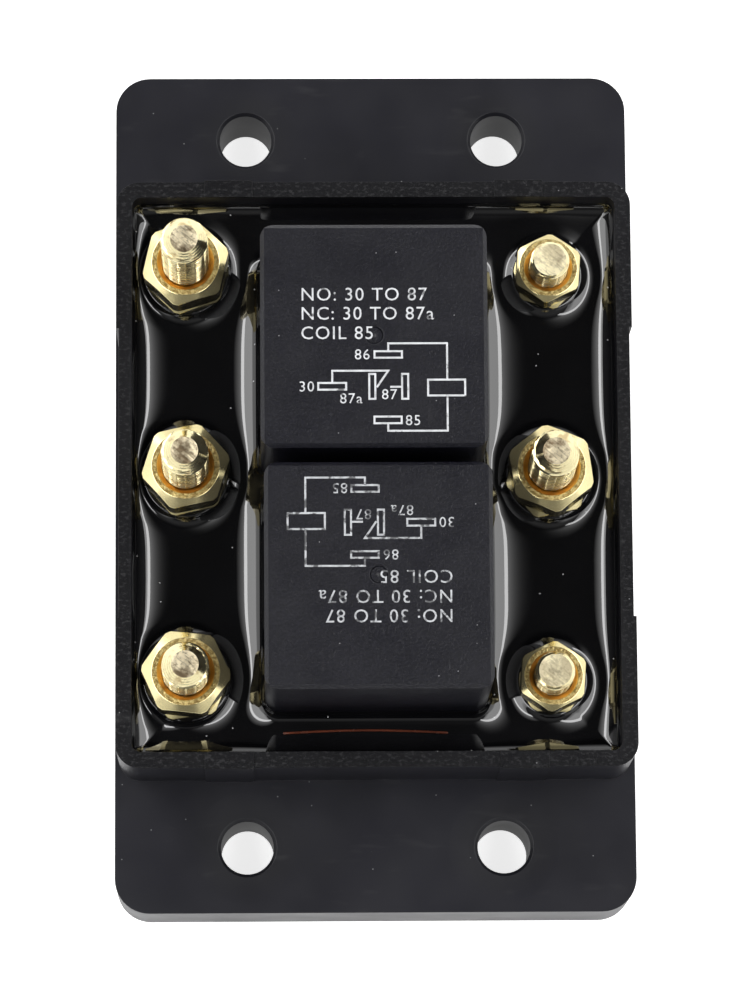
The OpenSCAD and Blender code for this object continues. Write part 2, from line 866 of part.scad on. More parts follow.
module coil(which) {
    tube_r = core_diameter * half_share + 2 * slot_clearance + bobbin_tube;
    low = yoke_floor + bobbin_flange;
    high = bobbin_top - bobbin_flange;
    color(COPPER)
        at_relay(which)
            translate([0, 0, relay_level + low])
                difference() {
                    cylinder(r = bobbin_diameter * half_share - winding_inset, h = high - low);
                    translate([0, 0, -overrun])
                        cylinder(r = tube_r, h = high - low + 2 * overrun);
                }
}

// Turns what is drawn in the closed place to the open one, about the pivot
module swung_open() {
    translate([pivot_x, 0, relay_level + arm_level])
        rotate([0, -armature_swing, 0])
            translate([-pivot_x, 0, -arm_level])
                children();
}

module armature(which) {
    color(STEEL)
        at_relay(which)
            swung_open()
                box_between([arm_heel, -yoke_width * half_share, arm_level],
                    [nose_length, yoke_width * half_share, blade_level]);
}

module contact_blade(which) {
    blade_end = contact_offset + contact_diameter * half_share;
    blade_top = blade_level + blade_thickness;
    color(COPPER)
        at_relay(which)
            swung_open() {
                box_between([-blade_tail_length, -blade_width * half_share, blade_level],
                    [blade_step_offset, blade_width * half_share, blade_top]);
                box_between([-blade_tail_length, -blade_tip_width * half_share, blade_level],
                    [blade_end, blade_tip_width * half_share, blade_top]);
                for (x = rivet_places)
                    translate([x, 0, blade_top])
                        cylinder(d = rivet_diameter, h = rivet_height);
                translate([contact_offset, 0, blade_level - contact_height])
                    cylinder(d = contact_diameter, h = blade_thickness + 2 * contact_height);
            }
}

module return_spring(which) {
    color(SPRING_STEEL)
        at_relay(which)
            translate([-spring_offset, 0, relay_level + spring_foot])
                difference() {
                    cylinder(d = spring_diameter, h = spring_top - spring_foot);
                    translate([0, 0, -overrun])
                        cylinder(d = spring_bore, h = spring_top - spring_foot + 2 * overrun);
                }
}

// Fixed contact on a post that ends in a pin; side is -1 or 1
module fixed_contact(which, side, tab_level, button_low) {
    low_y = side * post_side_offset - post_width * half_share;
    high_y = side * post_side_offset + post_width * half_share;
    color(COPPER)
        at_relay(which)
            translate([0, 0, relay_level]) {
                translate([pin_mid_x, side * post_side_offset, 0])
                    pillar(strip_thickness, pin_width, -pin_length, relay_base_thickness);
                box_between([post_offset, low_y, relay_base_thickness],
                    [post_offset + strip_thickness, high_y, tab_level + strip_thickness]);
                box_between([tab_start_offset, min(low_y, -tab_half_width), tab_level],
                    [post_offset + strip_thickness, max(high_y, tab_half_width),
                        tab_level + strip_thickness]);
                translate([contact_offset, 0, button_low])
                    cylinder(d = contact_diameter - 2 * touch_gap, h = contact_height);
            }
}

// Contact that the blade meets when the coil is live
module open_contact(which) {
    button_low = open_contact_level - contact_height;
    fixed_contact(which, -1, button_low - strip_thickness, button_low);
}

// Contact that the blade rests against when the coil is dead
module closed_contact(which) {
    fixed_contact(which, 1, closed_contact_level + contact_height, closed_contact_level);
}

module common_terminal(which) {
    color(COPPER)
        at_relay(which)
            translate([common_x, 0, relay_level]) {
                pillar(strip_thickness, pin_width, -pin_length, relay_base_thickness);
                pillar(strip_thickness, common_width, relay_base_thickness, common_height);
            }
}

module coil_terminals(which) {
    color(COPPER)
        at_relay(which)
            for (side = [-1, 1])
                translate([coil_terminal_offset, side * coil_terminal_spread, relay_level])
                    pillar(strip_thickness, pin_width, -pin_length, coil_terminal_height);
}

// Resistor across the coil, its leads ending on the coil terminals
module resistor(which) {
    lead_run = 2 * coil_terminal_spread - pin_width;
    color(RESISTOR_BLUE)
        at_relay(which)
            translate([coil_terminal_offset, 0, relay_level + relay_base_thickness + resistor_height])
                rotate([90, 0, 0]) {
                    cylinder(d = resistor_diameter, h = resistor_length, center = true);
                    cylinder(d = lead_diameter, h = lead_run, center = true);
                }
}

housing();
potting();
circuit_board();
top_bar(LEFT, 2) motor_a_outline();  // busbar_motor_a
top_bar(RIGHT, 1) motor_b_outline();  // busbar_motor_b
top_bar(LEFT, 1) positive_outline();  // busbar_positive
top_bar(LEFT, 0) negative_outline();  // busbar_negative
bottom_bar() positive_link_outline();  // cross_link_positive
bottom_bar() negative_link_outline();  // cross_link_negative
top_bar(RIGHT, 2) trigger_tab_outline(2);  // trigger_tab_top
top_bar(RIGHT, 0) trigger_tab_outline(0);  // trigger_tab_bottom
link_wire();
stud(LEFT, 2);  // stud_left_top
stud(LEFT, 1);  // stud_left_middle
stud(LEFT, 0);  // stud_left_bottom
stud(RIGHT, 2);  // stud_right_top
stud(RIGHT, 1);  // stud_right_middle
stud(RIGHT, 0);  // stud_right_bottom
seat_nut(LEFT, 2);  // seat_nut_left_top
seat_nut(LEFT, 1);  // seat_nut_left_middle
seat_nut(LEFT, 0);  // seat_nut_left_bottom
seat_nut(RIGHT, 2);  // seat_nut_right_top
seat_nut(RIGHT, 1);  // seat_nut_right_middle
seat_nut(RIGHT, 0);  // seat_nut_right_bottom
terminal_nut(LEFT, 2);  // terminal_nut_left_top
terminal_nut(LEFT, 1);  // terminal_nut_left_middle
terminal_nut(LEFT, 0);  // terminal_nut_left_bottom
terminal_nut(RIGHT, 2);  // terminal_nut_right_top
terminal_nut(RIGHT, 1);  // terminal_nut_right_middle
terminal_nut(RIGHT, 0);  // terminal_nut_right_bottom
relay_cover(UPPER);  // upper_cover
relay_base(UPPER);  // upper_relay_base
yoke(UPPER);  // upper_yoke
core(UPPER);  // upper_core
bobbin(UPPER);  // upper_bobbin
coil(UPPER);  // upper_coil
armature(UPPER);  // upper_armature
contact_blade(UPPER);  // upper_contact_blade
return_spring(UPPER);  // upper_return_spring
open_contact(UPPER);  // upper_open_contact
closed_contact(UPPER);  // upper_closed_contact
common_terminal(UPPER);  // upper_common_terminal
coil_terminals(UPPER);  // upper_coil_terminals
resistor(UPPER);  // upper_resistor
relay_cover(LOWER);  // lower_cover
relay_base(LOWER);  // lower_relay_base
yoke(LOWER);  // lower_yoke
core(LOWER);  // lower_core
bobbin(LOWER);  // lower_bobbin
coil(LOWER);  // lower_coil
armature(LOWER);  // lower_armature
contact_blade(LOWER);  // lower_contact_blade
return_spring(LOWER);  // lower_return_spring
open_contact(LOWER);  // lower_open_contact
closed_contact(LOWER);  // lower_closed_contact
common_terminal(LOWER);  // lower_common_terminal
coil_terminals(LOWER);  // lower_coil_terminals
resistor(LOWER);  // lower_resistor
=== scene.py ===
# Finish, small shapes, light and camera for the potted dual relay module.
import json
import math

import bmesh
import bpy
import numpy as np
from mathutils import Matrix, Vector


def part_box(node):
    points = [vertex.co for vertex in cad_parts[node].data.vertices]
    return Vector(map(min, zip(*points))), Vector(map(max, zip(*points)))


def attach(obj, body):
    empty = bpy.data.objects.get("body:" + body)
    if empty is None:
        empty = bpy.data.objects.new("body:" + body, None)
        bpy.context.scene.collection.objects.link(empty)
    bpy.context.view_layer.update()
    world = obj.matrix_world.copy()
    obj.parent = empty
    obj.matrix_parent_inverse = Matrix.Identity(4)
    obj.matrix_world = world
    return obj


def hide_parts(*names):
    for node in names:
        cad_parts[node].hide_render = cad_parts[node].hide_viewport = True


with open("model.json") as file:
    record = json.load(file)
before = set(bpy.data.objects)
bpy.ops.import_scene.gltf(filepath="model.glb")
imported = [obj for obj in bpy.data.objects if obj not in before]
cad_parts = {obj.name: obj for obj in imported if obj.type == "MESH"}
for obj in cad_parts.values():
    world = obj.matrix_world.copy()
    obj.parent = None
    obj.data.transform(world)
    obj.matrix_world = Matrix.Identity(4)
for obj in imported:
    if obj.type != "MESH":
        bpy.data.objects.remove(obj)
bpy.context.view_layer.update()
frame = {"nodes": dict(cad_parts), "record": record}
NODES = frame["nodes"]
ROOT = "module"
MM = 0.001

# Hardware sizes that the frame's boxes don't tell, in millimetres: thread, end and flats are
# widths, face, mouth and mound are radii, foot is the height of the potting's steep creep
POWER = dict(thread=5.9, end=3.4, flats=10.0, pitch=1.0, depth=0.5, face=4.25, mouth=3.6,
             mound=7.9, foot=0.3, end_finish="stud_end_worn")
TRIGGER = dict(thread=4.9, end=4.1, flats=8.0, pitch=0.8, depth=0.35, face=3.65, mouth=3.05,
               mound=7.0, foot=0.0, end_finish="stud_end_bright")

# Each stud's size, and the turns in degrees of its seat nut and its terminal nut
STUDS = {
    "left_top": dict(size=POWER, seat_turn=18, nut_turn=17),
    "left_middle": dict(size=POWER, seat_turn=13, nut_turn=12),
    "left_bottom": dict(size=POWER, seat_turn=8, nut_turn=-6),
    "right_top": dict(size=TRIGGER, seat_turn=44, nut_turn=26),
    "right_middle": dict(size=POWER, seat_turn=12, nut_turn=38),
    "right_bottom": dict(size=TRIGGER, seat_turn=-2, nut_turn=26),
}
# Turn in degrees of each relay's print
RELAYS = {"upper": 0, "lower": 180}

# Nuts: bore round the thread, corners turned down to a share of the sharp hexagon's
BORE_GAP = 0.05
NUT_CORNER_SHARE = 0.965
CHAMFER_SLOPE = math.tan(math.pi / 6)
NUT_COLUMNS = 96
NUT_BEVEL = dict(width=0.09, segments=2, angle=24)

# Studs: where a thread's flank starts and how long it is, as shares of half a turn
FLANK_START = 0.55
FLANK_LENGTH = 0.40
STUD_COLUMNS = 60
ROWS_PER_TURN = 14
# The sawn end is dished; its rings lie at shares of its radius
END_DISH = 0.12
END_RINGS = (0.93, 0.8, 0.6, 0.35)

# Housing and covers, in millimetres
HOLE_X = 16.25
HOLE_Y = 46.0
# Radii between which the sink mark round a hole fades out
SINK_RING = (4.5, 7.0)
# Depths below the tray's top between which its coarse rim fades out
RIM_FADE = (0.5, 0.3)
HOUSING_ROUNDING = 0.16
COVER_ROUNDING = 0.35
COVER_HALF = 14
COVER_CORNER = 1.7
TRAY_CORNER = 1.2
# Radius round a cover's middle that holds its moulding mark, and the radius of its ring
MARK_RADIUS = 2.0
MARK_RING = 1.12
MARK_SMOOTH_ANGLE = 12

# Points of a node's mesh this close are one, and faces within this angle are one flat
JOIN_DISTANCE = 0.001
FLAT_ANGLE = 0.5

# Potting: level, and how it creeps up what it meets: a wide rise and a steep foot
POTTING_LEVEL = 18.3
POTTING_STEP = 0.2
WALL_CREEP = dict(high=1.5, reach=2.2, foot=0.5, foot_reach=0.3)
NUT_CREEP = dict(high=1.0, reach=1.4, foot_reach=0.2)
# The creep at a nut starts at a round line, this share of its width from its middle
NUT_CREEP_START = 0.545
# The second pour left a low round mound at each stud
MOUND_HEIGHT = 0.22
# The potting's surface is left out this far inside the covers' sides
HIDDEN_DEPTH = 0.7

# Link wire: sideways bow, and how far its middle stands above the potting, in radii
WIRE_BOW = 0.35
WIRE_RISE = 0.4
WIRE_STEPS = 24

# Print on the relays, in millimetres from a cover's middle
INK_HEIGHT = 0.02
INK_LINE = 0.24
# Font size is the cap height over this share
CAP_SHARE = 0.70
LETTER_SPACING = 1.12
DIAGRAM_LINES = [
    [(1.72, -1.92), (1.72, -1.05), (8.95, -1.05), (8.95, -5.5)],
    [(8.95, -7.72), (8.95, -12.0), (1.65, -12.0), (1.65, -11.17)],
    [(-5.18, -5.88), (-5.18, -4.48), (1.7, -4.48), (0.3, -6.55)],
    [(1.93, -6.5), (3.27, -6.5)],
]
DIAGRAM_BOXES = [
    ((-0.09, -2.97), (3.52, -1.92)),
    ((6.46, -7.72), (11.25, -5.5)),
    ((-0.15, -11.17), (3.43, -10.1)),
    ((-7.02, -6.96), (-3.36, -5.88)),
    ((-0.76, -8.12), (0.22, -4.77)),
    ((3.27, -8.12), (4.26, -4.77)),
]
DIAGRAM_CAP_HEIGHT = 1.28
DIAGRAM_WORDS = [
    ("86", (-2.45, -3.05)),
    ("30", (-9.3, -7.05)),
    ("87a", (-4.3, -8.55)),
    ("87", (0.85, -8.05)),
    ("85", (3.75, -11.3)),
]
PRINT_CAP_HEIGHT = 1.62
PRINT_LEFT = -9.06
PRINT_LINES = [("NO: 30 TO 87", 4.35), ("NC: 30 TO 87a", 1.95), ("COIL 85", -0.5)]

# Camera: the photograph's, found from the module's edges
CAMERA_PLACE = (-13.916, -117.860, 659.308)
CAMERA_TURN = (0.1779, -0.0211, -0.0052)
FOCAL_PIXELS = 5141.864
LONG_SIDE_PIXELS = 1000
SENSOR_WIDTH = 36.0
CLIP_NEAR = 0.01
CLIP_FAR = 50

# Floor: radii and heights in metres, and the glow that the camera and mirrors see
FLOOR_HALF = 4.0
FLOOR_PROFILE = [(0.02, 0), (0.5, 0), (1.5, 0), (FLOOR_HALF - 0.4, 0), (FLOOR_HALF - 0.1, 0.1),
                 (FLOOR_HALF, 0.4), (FLOOR_HALF, 1.0)]
FLOOR_COLUMNS = 96
FLOOR_COLOUR = (0.8, 0.8, 0.8)
CAMERA_GLOW = 0.8
MIRROR_GLOW = 0.34

# Lamps at both sides: angles from the zenith in degrees, and radiance
LAMP_DISTANCE = 1.2
LAMP_LENGTH = 2.2
LAMP_SHIFT = 0.35
# The lamps come closer together toward the camera, turning about this tangent of y
LAMP_TURN = 12
LAMP_PIVOT = 0.2
LAMPS = {
    "left_soft": dict(side=-1, near=30, far=51, radiance=1.35),
    "left_core": dict(side=-1, near=25.5, far=30, radiance=5.8),
    "right_soft": dict(side=1, near=30, far=51, radiance=1.1),
    "right_core": dict(side=1, near=25.5, far=30, radiance=5.2),
}

# The sky between the zenith and the lamps: tangents where its glow starts and ends
SKY_RISES = [dict(sign=1, start=0.12, end=0.48, power=2.0),
             dict(sign=-1, start=0.29, end=0.48, power=1.0)]
SKY_GLOW = 1.6
ZENITH_GLOW = 0.03
# Heights of a direction over which the high sky takes over, and the lowest one reckoned with
HIGH_SKY = (0.50, 0.66)
LEAST_HEIGHT = 0.05
# Where the high sky's glow ends front and back; at the front it ends sooner by a factor
GLOW_ENDS = (0.50, 0.62)
FRONT_SHORTENING = 1.25
GLOW_END_SHARE = 0.02
# Dim glow half way up on the camera's side
FRONT_GLOW = 0.2
FRONT_GLOW_RANGE = (-0.62, -0.45)
# Bright surroundings near the horizon, dimmer lowest down and dark on the camera's side
HORIZON_GLOW = 1.15
LOWEST_GLOW_SHARE = 0.55
LOWEST_GLOW_RANGE = (0.05, 0.40)
CAMERA_SIDE_SHARE = 0.08
CAMERA_SIDE_RANGE = (-0.97, -0.90)


# Range that most values of a noise lie in, and the upright part of a face that looks up
NOISE_RANGE = (0.3, 0.7)
LOOKS_UP = (0.6, 0.8)


def middle(name):
    """Middle of a node's box, in millimetres."""
    low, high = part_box(name)
    return [(low[i] + high[i]) / 2 / MM for i in range(3)]


def levels(name):
    """Lowest and highest level of a node, in millimetres."""
    low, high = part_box(name)
    return low[2] / MM, high[2] / MM


BOARD_LEVEL = levels("circuit_board")[0]
TRAY_INNER = tuple([v / MM for v in corner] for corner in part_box("potting"))


def node(tree, kind, inputs=(), **settings):
    """Adds a shader node; inputs are pairs of a socket and a value or an output."""
    made = tree.nodes.new("ShaderNode" + kind)
    for name, value in settings.items():
        setattr(made, name, value)
    for socket, value in inputs:
        if isinstance(value, bpy.types.NodeSocket):
            tree.links.new(value, made.inputs[socket])
        else:
            made.inputs[socket].default_value = value
    return made


def math_node(tree, operation, a, b=0.0):
    return node(tree, "Math", [(0, a), (1, b)], operation=operation).outputs[0]


def product(tree, value, *factors):
    for factor in factors:
        value = math_node(tree, "MULTIPLY", value, factor)
    return value


def place(tree, stretch=(1, 1, 1)):
    """Object coordinates in metres, stretched along the axes."""
    source = node(tree, "TexCoord").outputs["Object"]
    return node(tree, "Mapping", [("Vector", source), ("Scale", stretch)]).outputs["Vector"]


def noise(tree, size, detail=3.0, stretch=(1, 1, 1), rough=0.5):
    """Noise whose largest features are about size millimetres, from 0 to 1."""
    made = node(tree, "TexNoise", [("Vector", place(tree, stretch)), ("Scale", 1 / (size * MM)),
                                   ("Detail", detail), ("Roughness", rough)])
    return made.outputs["Fac"]


def spread(tree, value, low, high, to_low=0.0, to_high=1.0):
    """Maps low..high of a value to a new range, clamped."""
    made = node(tree, "MapRange", [("Value", value), ("From Min", low), ("From Max", high),
                                   ("To Min", to_low), ("To Max", to_high)])
    return made.outputs["Result"]


def blend_colour(tree, share, colour_a, colour_b):
    made = node(tree, "Mix", [(0, share), (6, colour_a), (7, colour_b)], data_type="RGBA")
    return made.outputs[2]


def rgba(colour, factor=1.0):
    return tuple(channel * factor for channel in colour) + (1.0,)


class Finish:
    """A Principled material with noise in its colour, roughness and bump."""

    def __init__(self, name, colour, patch=6.0, contrast=0.15, roughness=(0.4, 0.5),
                 grain=0.25, bump=0.01, stretch=(1, 1, 1), **uniform):
        self.material = bpy.data.materials.new(name)
        self.material.use_nodes = True
        self.tree = self.material.node_tree
        self.shader = self.tree.nodes["Principled BSDF"]
        for socket, value in uniform.items():
            self.shader.inputs[socket.replace("_", " ")].default_value = value
        patches = spread(self.tree, noise(self.tree, patch, 4.0, stretch), *NOISE_RANGE)
        self.colour = blend_colour(self.tree, patches, rgba(colour, 1 - contrast),
                                   rgba(colour, 1 + contrast))
        worn = noise(self.tree, patch * 0.6, 5.0, stretch)
        self.roughness = spread(self.tree, worn, *NOISE_RANGE, *roughness)
        self.height = product(self.tree, noise(self.tree, grain, 3.0, stretch), bump * MM)

    def tint(self, share, colour, amount=1.0):
        """Blends another colour in by an amount, times a share from 0 to 1."""
        self.colour = blend_colour(self.tree, product(self.tree, share, amount), self.colour,
                                   rgba(colour))

    def roughen(self, share, roughness):
        made = node(self.tree, "Mix", [(0, share), (2, self.roughness), (3, roughness)])
        self.roughness = made.outputs[0]

    def raise_by(self, share, height):
        """Adds a height in millimetres to the bump, times a share."""
        lift = product(self.tree, share, height * MM)
        self.height = math_node(self.tree, "ADD", self.height, lift)

    def done(self):
        bump = node(self.tree, "Bump", [("Height", self.height), ("Distance", 1.0)])
        self.tree.links.new(self.colour, self.shader.inputs["Base Color"])
        self.tree.links.new(self.roughness, self.shader.inputs["Roughness"])
        self.tree.links.new(bump.outputs["Normal"], self.shader.inputs["Normal"])
        return self.material


def axis_value(tree, axis):
    """One of the object coordinates X, Y and Z, in metres."""
    return node(tree, "SeparateXYZ", [(0, place(tree))]).outputs[axis]


def waves(tree, axis, length):
    """Sine along an axis, with a wave's length in millimetres, from -1 to 1."""
    phase = product(tree, axis_value(tree, axis), 2 * math.pi / (length * MM))
    return math_node(tree, "SINE", phase)


def distance_to(tree, centre):
    """Distance in metres from an upright axis through a point in millimetres."""
    point = (centre[0] * MM, centre[1] * MM, 0)
    made = node(tree, "VectorMath", [(0, place(tree, (1, 1, 0))), (1, point)],
                operation="DISTANCE")
    return made.outputs["Value"]


def scratches(tree, size, stretch, amount):
    """Thin lines along the axis that stretch squeezes, from 0 to 1."""
    lines = noise(tree, size, 2.0, stretch, rough=0.7)
    return spread(tree, lines, 1 - amount, 1 - amount * 0.6)


def dust_specks(tree, spacing, share, radius):
    """Specks of dust on faces that look up, from 0 to 1, in a share of the cells."""
    cells = node(tree, "TexVoronoi", [("Vector", place(tree)), ("Scale", 1 / (spacing * MM)),
                                      ("Randomness", 1.0)], voronoi_dimensions="2D")
    facing = node(tree, "SeparateXYZ", [(0, node(tree, "NewGeometry").outputs["Normal"])])
    upward = spread(tree, facing.outputs["Z"], *LOOKS_UP)
    pick = node(tree, "SeparateXYZ", [(0, cells.outputs["Color"])])
    kept = spread(tree, pick.outputs["X"], 1 - share, 1.01 - share)
    small = spread(tree, cells.outputs["Distance"], 0.6 * radius / spacing,
                   1.2 * radius / spacing, 1.0, 0.0)
    return product(tree, kept, small, upward)


def moulded_plastic():
    """Black moulded nylon: satin skin, coarse rim, sink marks round the holes."""
    made = Finish("moulded_black", (0.0095, 0.0095, 0.0135), patch=14, contrast=0.18,
                  roughness=(0.32, 0.40), grain=0.3, bump=0.004, IOR=1.42)
    tree = made.tree
    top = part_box("housing")[1][2]
    rim = spread(tree, axis_value(tree, "Z"), *[top - depth * MM for depth in RIM_FADE])
    made.raise_by(product(tree, noise(tree, 0.35, 4.0, rough=0.65), rim), 0.05)
    tree.links.new(spread(tree, rim, 0.0, 1.0, 0.5, 0.27), made.shader.inputs["Specular IOR Level"])
    made.tint(rim, (0.003, 0.003, 0.0035), 0.8)
    fibre = spread(tree, noise(tree, 0.4, 3.0, (0.6, 1, 1), rough=0.7), 0.52, 0.66)
    made.tint(product(tree, fibre, rim), (0.032, 0.032, 0.034), 0.8)
    made.tint(dust_specks(tree, 4.0, 0.14, 0.08), (0.35, 0.35, 0.36), 0.6)
    for x in (-HOLE_X, HOLE_X):
        for y in (-HOLE_Y, HOLE_Y):
            halo = spread(tree, distance_to(tree, (x, y)), *[r * MM for r in SINK_RING], 1.0, 0.0)
            made.tint(halo, (0.011, 0.011, 0.012), 0.35)
            made.raise_by(halo, -0.06)
    made.tint(scratches(tree, 2.5, (0.25, 1, 1), 0.36), (0.05, 0.05, 0.052), 0.25)
    return made.done()


def potting_resin():
    """Glossy black resin with dust specks."""
    made = Finish("potting_black", (0.0032, 0.0032, 0.0038), patch=9, contrast=0.3,
                  roughness=(0.02, 0.05), grain=7.0, bump=0.02, Coat_Weight=1.0,
                  Coat_Roughness=0.015, Coat_IOR=1.5, IOR=1.5)
    dust = dust_specks(made.tree, 3.0, 0.12, 0.09)
    made.tint(dust, (0.6, 0.6, 0.62), 0.9)
    made.roughen(dust, 0.7)
    return made.done()


def relay_plastic():
    """Charcoal relay cover: fine spark-eroded skin, a ring and a dot as moulding mark."""
    made = Finish("cover_charcoal", (0.005, 0.005, 0.0095), patch=9, contrast=0.10,
                  roughness=(0.33, 0.41), grain=0.3, bump=0.07, IOR=1.42)
    tree = made.tree
    pits = spread(tree, noise(tree, 0.35, 2.0), 0.46, 0.56)
    made.tint(pits, (0.002, 0.002, 0.0045), 0.8)
    for name in RELAYS:
        away = distance_to(tree, middle(f"{name}_cover"))
        off_ring = math_node(tree, "ABSOLUTE", math_node(tree, "SUBTRACT", away, MARK_RING * MM))
        made.raise_by(spread(tree, off_ring, 0.05 * MM, 0.14 * MM, 1.0, 0.0), -0.06)
        dot = spread(tree, away, 0.12 * MM, 0.3 * MM, 1.0, 0.0)
        made.raise_by(dot, 0.06)
        made.tint(dot, (0.03, 0.03, 0.033), 0.8)
    made.tint(dust_specks(tree, 2.4, 0.07, 0.07), (0.4, 0.4, 0.42), 0.7)
    made.tint(scratches(tree, 1.6, (1, 0.3, 1), 0.33), (0.04, 0.04, 0.043), 0.2)
    return made.done()


def ink(name, colour, patch, contrast, gap_size, gap_range, gap_amount):
    """White pad print with gaps where the coat is broken or rubbed off."""
    made = Finish(name, colour, patch=patch, contrast=contrast, roughness=(0.5, 0.6),
                  grain=0.15, bump=0.004)
    gone = spread(made.tree, noise(made.tree, gap_size, 4.0, rough=0.6), *gap_range)
    made.tint(gone, (0.030, 0.030, 0.032), gap_amount)
    return made.done()


def brass(name, colour=(0.92, 0.80, 0.43), roughness=(0.12, 0.24), grain=0.3, bump=0.004):
    return Finish(name, colour, patch=2.5, contrast=0.08, roughness=roughness, grain=grain,
                  bump=bump, Metallic=1.0)


def nut_face():
    """Dull granular ring where the nut was cut."""
    made = brass("brass_granular", (0.58, 0.46, 0.20), (0.34, 0.48), grain=0.35, bump=0.20)
    pits = spread(made.tree, noise(made.tree, 0.5, 4.0, rough=0.75), 0.45, 0.56)
    made.tint(pits, (0.20, 0.13, 0.04), 0.8)
    return made.done()


def nut_mouth():
    """Inside of a nut: cut brass, slightly tarnished; its warm orange is partly painted reflection,
    standing in for light bounced round the bore and thread.
    """
    return brass("brass_bore_painted_bounce", (0.92, 0.58, 0.20), (0.3, 0.42), grain=0.2, bump=0.03).done()


def stud_thread():
    """Bright brass with fine turning marks and dull patches."""
    made = brass("brass_thread", (0.90, 0.80, 0.47), (0.10, 0.22), grain=0.25, bump=0.012)
    made.raise_by(waves(made.tree, "Z", 0.27), 0.0025)
    dull = spread(made.tree, noise(made.tree, 1.2, 4.0), 0.50, 0.66)
    made.tint(dull, (0.34, 0.20, 0.07), 0.6)
    return made.done()


def stud_end(name, colour, roughness, amount):
    """Sawn end of a stud: mottled and scratched aslant."""
    made = brass(name, colour, roughness, grain=0.3, bump=0.03)
    tree = made.tree
    blotch = spread(tree, noise(tree, 3.2, 4.0, rough=0.6), 0.45, 0.56)
    made.tint(blotch, (0.20, 0.14, 0.08), amount)
    pits = spread(tree, noise(tree, 0.5, 3.0, rough=0.7), 0.54, 0.62)
    made.tint(pits, (0.11, 0.075, 0.04), amount * 0.6)
    source = node(tree, "TexCoord").outputs["Object"]
    aslant = node(tree, "Mapping", [("Vector", source), ("Rotation", (0, 0, math.radians(-40))),
                                    ("Scale", (9, 1, 1))], vector_type="TEXTURE")
    lines = node(tree, "TexNoise", [("Vector", aslant.outputs[0]), ("Scale", 1 / (0.3 * MM)),
                                    ("Detail", 2.0), ("Roughness", 0.6)]).outputs["Fac"]
    made.tint(spread(tree, lines, 0.5, 0.62), (0.13, 0.09, 0.05), amount * 0.55)
    made.raise_by(lines, 0.05)
    return made.done()


def steel(name, colour):
    return Finish(name, colour, patch=3, contrast=0.08, roughness=(0.25, 0.4), grain=0.3,
                  bump=0.006, stretch=(1, 0.1, 1), Metallic=1.0).done()


def rolled_copper():
    """Copper strip, rolled lengthwise, with darker patches."""
    made = Finish("rolled_copper", (0.80, 0.43, 0.26), patch=3, contrast=0.12,
                  roughness=(0.25, 0.4), grain=0.3, bump=0.006, stretch=(0.1, 1, 1),
                  Metallic=1.0)
    dark = spread(made.tree, noise(made.tree, 4, 4.0), 0.55, 0.75)
    made.tint(dark, (0.35, 0.16, 0.09), 0.5)
    return made.done()


def coil_winding():
    """Enamelled wire, layer on layer: fine ridges round the core."""
    made = Finish("coil_winding", (0.52, 0.20, 0.08), patch=1.5, contrast=0.15,
                  roughness=(0.22, 0.35), grain=0.3, bump=0.004, Metallic=0.6)
    made.raise_by(waves(made.tree, "Z", 0.16), 0.03)
    return made.done()


def board_laminate():
    """Green laminate with the glass weave showing faintly."""
    made = Finish("board_laminate", (0.015, 0.11, 0.035), patch=5, contrast=0.12,
                  roughness=(0.25, 0.35), grain=0.3, bump=0.003)
    woven = product(made.tree, waves(made.tree, "X", 0.7), waves(made.tree, "Y", 0.7))
    made.tint(spread(made.tree, woven, 0.0, 1.0), (0.03, 0.2, 0.07), 0.25)
    made.raise_by(woven, 0.01)
    return made.done()


def enamel():
    return Finish("wire_enamel", (0.10, 0.025, 0.012), patch=2, contrast=0.25,
                  roughness=(0.2, 0.3), grain=0.3, bump=0.004).done()


def plain_plastic(name, colour):
    return Finish(name, colour, patch=4, contrast=0.12, roughness=(0.4, 0.55), grain=0.25,
                  bump=0.006).done()


def add_object(name, data):
    """Adds an object with its data to the scene."""
    made = bpy.data.objects.new(name, data)
    bpy.context.scene.collection.objects.link(made)
    return made


def new_piece(name, mesh, body, replaced=(), materials=()):
    """Adds a mesh as a piece that rides on a body and stands for some nodes."""
    piece = add_object(name, mesh)
    for material in materials:
        mesh.materials.append(material)
    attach(piece, body)
    if replaced:
        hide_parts(*replaced)
    return piece


def mesh_from(name, points, faces, material_of=None):
    """Mesh from points in millimetres; material_of gives each face's material."""
    mesh = bpy.data.meshes.new(name)
    mesh.from_pydata([Vector(point) * MM for point in points], [], faces)
    if material_of:
        for polygon in mesh.polygons:
            polygon.material_index = material_of[polygon.index]
    mesh.validate()
    return mesh


def mesh_of_shape(name, shape):
    """Mesh of a bmesh, which is freed."""
    mesh = bpy.data.meshes.new(name)
    shape.to_mesh(mesh)
    shape.free()
    return mesh


def mesh_of_curve(curve):
    """Mesh of a curve or a text, made through a short-lived object."""
    source = add_object(curve.name, curve)
    graph = bpy.context.evaluated_depsgraph_get()
    mesh = bpy.data.meshes.new_from_object(source.evaluated_get(graph))
    bpy.data.objects.remove(source)
    return mesh


def smooth(mesh, angle):
    """Smooth shading, except across edges steeper than an angle in degrees."""
    for polygon in mesh.polygons:
        polygon.use_smooth = True
    mesh.set_sharp_from_angle(angle=math.radians(angle))


def bake_modifiers(piece):
    """Puts the result of a piece's modifiers into its mesh."""
    graph = bpy.context.evaluated_depsgraph_get()
    mesh = bpy.data.meshes.new_from_object(piece.evaluated_get(graph))
    piece.modifiers.clear()
    piece.data = mesh


def near_axis(edge, centre):
    """Whether an edge lies within the moulding mark's radius of an upright axis."""
    return all(math.hypot(vert.co.x / MM - centre[0], vert.co.y / MM - centre[1]) < MARK_RADIUS
               for vert in edge.verts)


